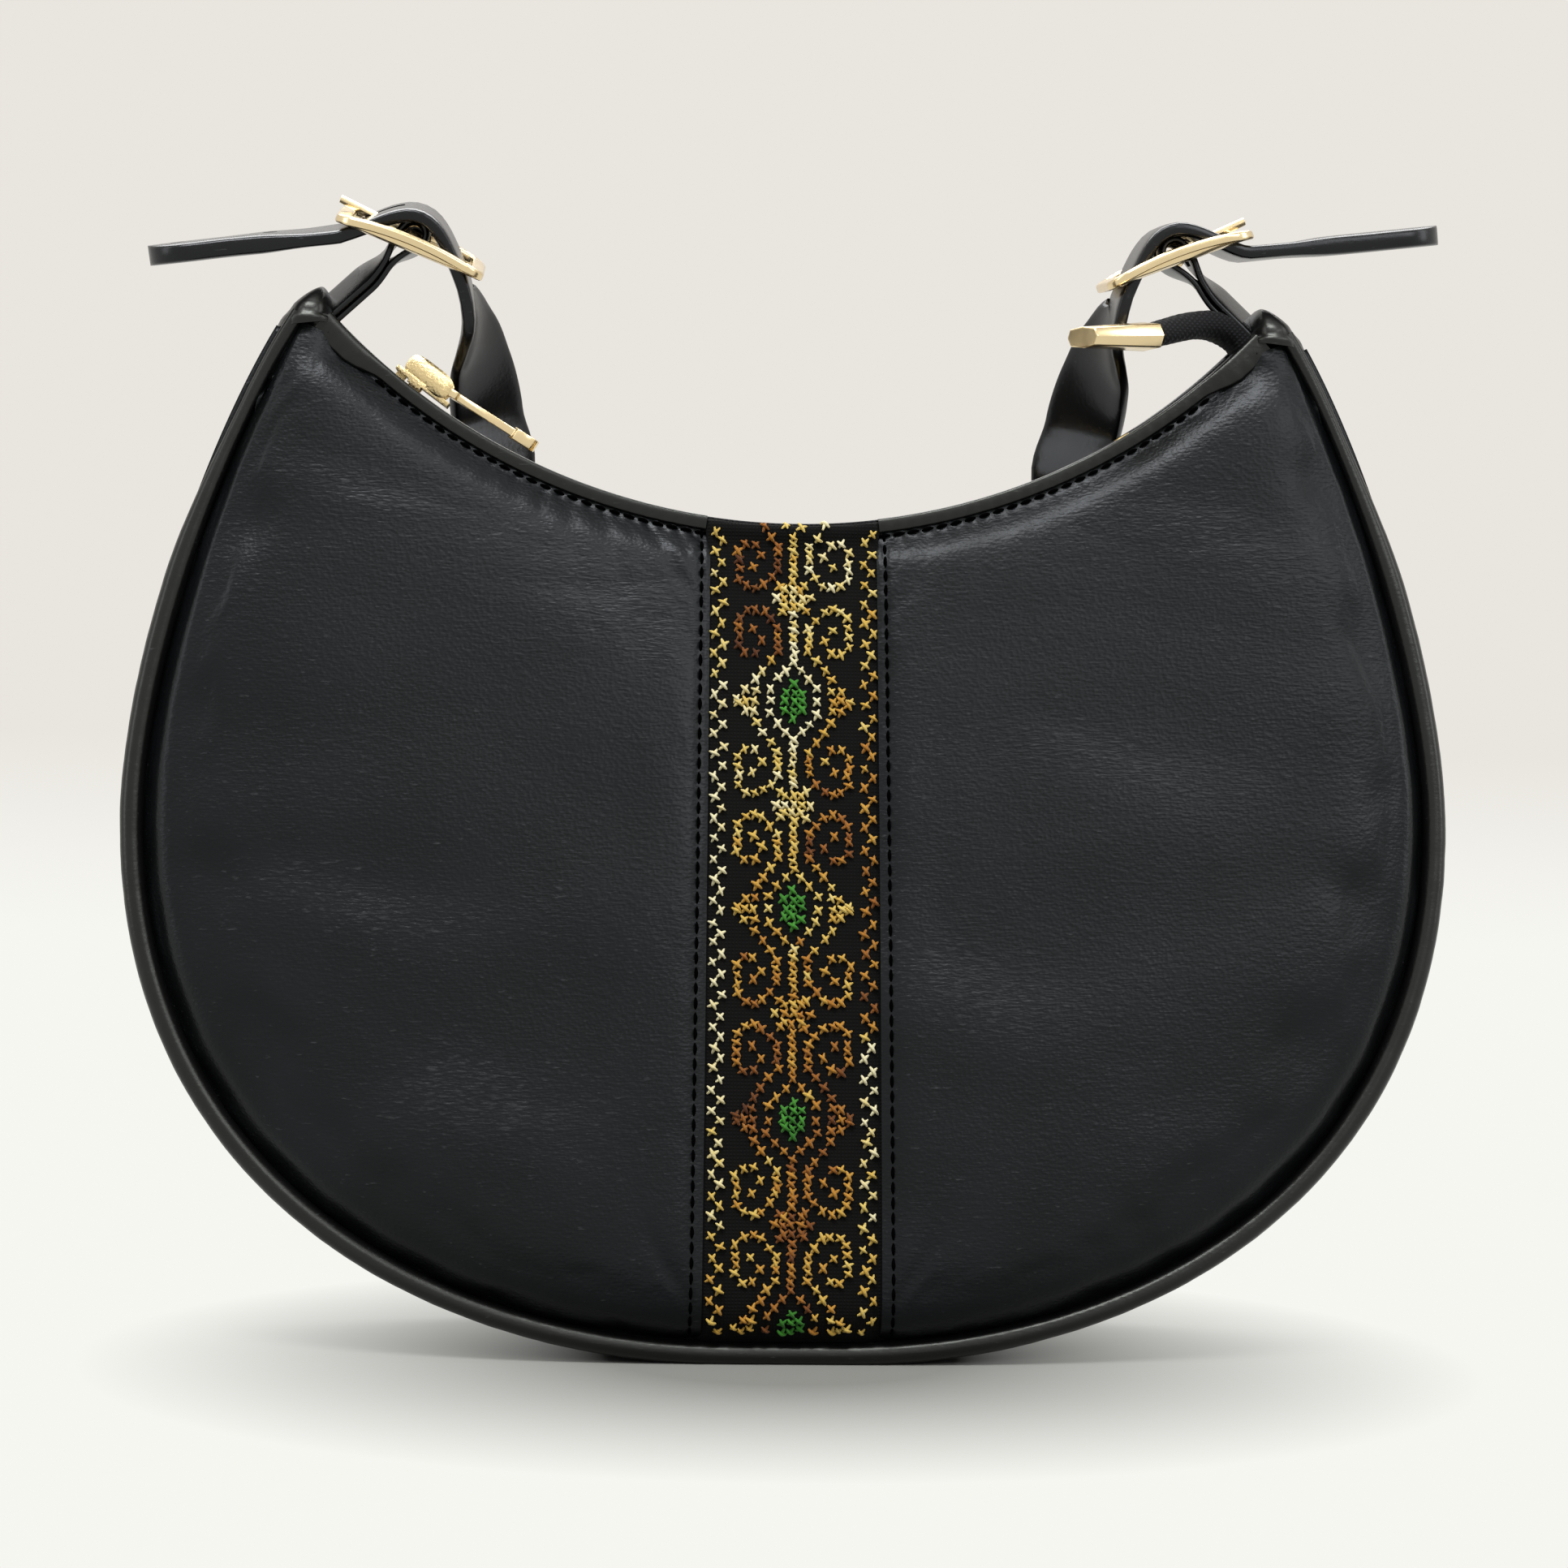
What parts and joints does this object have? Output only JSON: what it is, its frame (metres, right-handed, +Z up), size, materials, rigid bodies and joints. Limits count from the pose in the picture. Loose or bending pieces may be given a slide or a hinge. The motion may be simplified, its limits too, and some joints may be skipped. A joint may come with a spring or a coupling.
{
  "type": "shoulder bag",
  "caption": "Half moon shoulder bag in black leather with an embroidered front strip, a curved top zip and a strap buckled at both horns.",
  "frame": {"origin": "middle of the flat base that the bag stands on", "axes": "+X to the right of the front, along the bag's width; +Z up; the front faces -Y"},
  "size_m": [0.27, 0.0771, 0.238],
  "materials": {
    "black_leather": "soft grained black leather, semi matt",
    "trim_leather": "smooth black leather piping and binding, satin",
    "strip_cloth": "black cotton cloth with cross-stitch in variegated gold thread",
    "zip_tape": "woven black polyester tape",
    "padding": "open cell foam, hidden",
    "lining_cloth": "black twill lining",
    "zip_metal": "pale gold zip teeth",
    "gold_metal": "polished light gold plating"
  },
  "bodies": {
    "bag": {"front_panel_left": "black_leather", "front_panel_right": "black_leather", "back_panel": "black_leather", "gusset": "black_leather", "strap_tab_left": "black_leather", "strap_tab_right": "black_leather", "front_piping": "trim_leather", "back_piping": "trim_leather", "front_top_binding": "trim_leather", "back_top_binding": "trim_leather", "horn_cap_left": "trim_leather", "horn_cap_right": "trim_leather", "embroidered_strip": "strip_cloth", "zip_tape_front": "zip_tape", "zip_tape_back": "zip_tape", "front_foam": "padding", "back_foam": "padding", "base_stiffener": "padding", "lining_front": "lining_cloth", "lining_back": "lining_cloth", "lining_gusset": "lining_cloth", "slip_pocket": "lining_cloth", "zip_teeth_front": "zip_metal", "zip_teeth_back": "zip_metal", "zip_top_stop_front": "zip_metal", "zip_top_stop_back": "zip_metal", "zip_bottom_stop": "zip_metal"},
    "strap": {"shoulder_strap": "black_leather", "buckle_left": "gold_metal", "buckle_right": "gold_metal"},
    "prong_left": {"prong_left": "gold_metal"},
    "prong_right": {"prong_right": "gold_metal"},
    "zip_slider": {"zip_slider": "gold_metal"},
    "zip_pull": {"zip_pull": "gold_metal"},
    "zip_tail": {"zip_tail": "zip_tape", "zip_end_cap": "gold_metal"}
  },
  "joints": [
    {"name": "strap_swing", "type": "hinge", "parent": "bag", "child": "strap", "pos_m": [0, 0, 0.22717], "axis": [1, 0, 0], "range_deg": [0, 165], "deforming": ["strap_tab_left", "strap_tab_right"]},
    {"name": "prong_left_lift", "type": "hinge", "parent": "strap", "child": "prong_left", "pos_m": [-0.07835, -0.00035, 0.22714], "axis": [0, 0.9781, 0.2079], "range_deg": [0, 25]},
    {"name": "prong_right_lift", "type": "hinge", "parent": "strap", "child": "prong_right", "pos_m": [0.07835, -0.00012, 0.22717], "axis": [0, -0.9976, -0.0698], "range_deg": [0, 25]},
    {"name": "zip_run", "type": "hinge", "parent": "bag", "child": "zip_slider", "pos_m": [0, 0, 0.2994], "axis": [0, -1, 0], "range_deg": [0, 64.3], "deforming": ["zip_teeth_front", "zip_teeth_back"]},
    {"name": "zip_pull_flip", "type": "hinge", "parent": "zip_slider", "child": "zip_pull", "pos_m": [-0.07495, 0, 0.19787], "axis": [0, -1, 0], "range_deg": [0, 38]},
    {"name": "zip_tail_flex", "type": "hinge", "parent": "bag", "child": "zip_tail", "pos_m": [0.08902, 0, 0.20555], "axis": [0, -1, 0], "range_deg": [0, 10]}
  ]
}
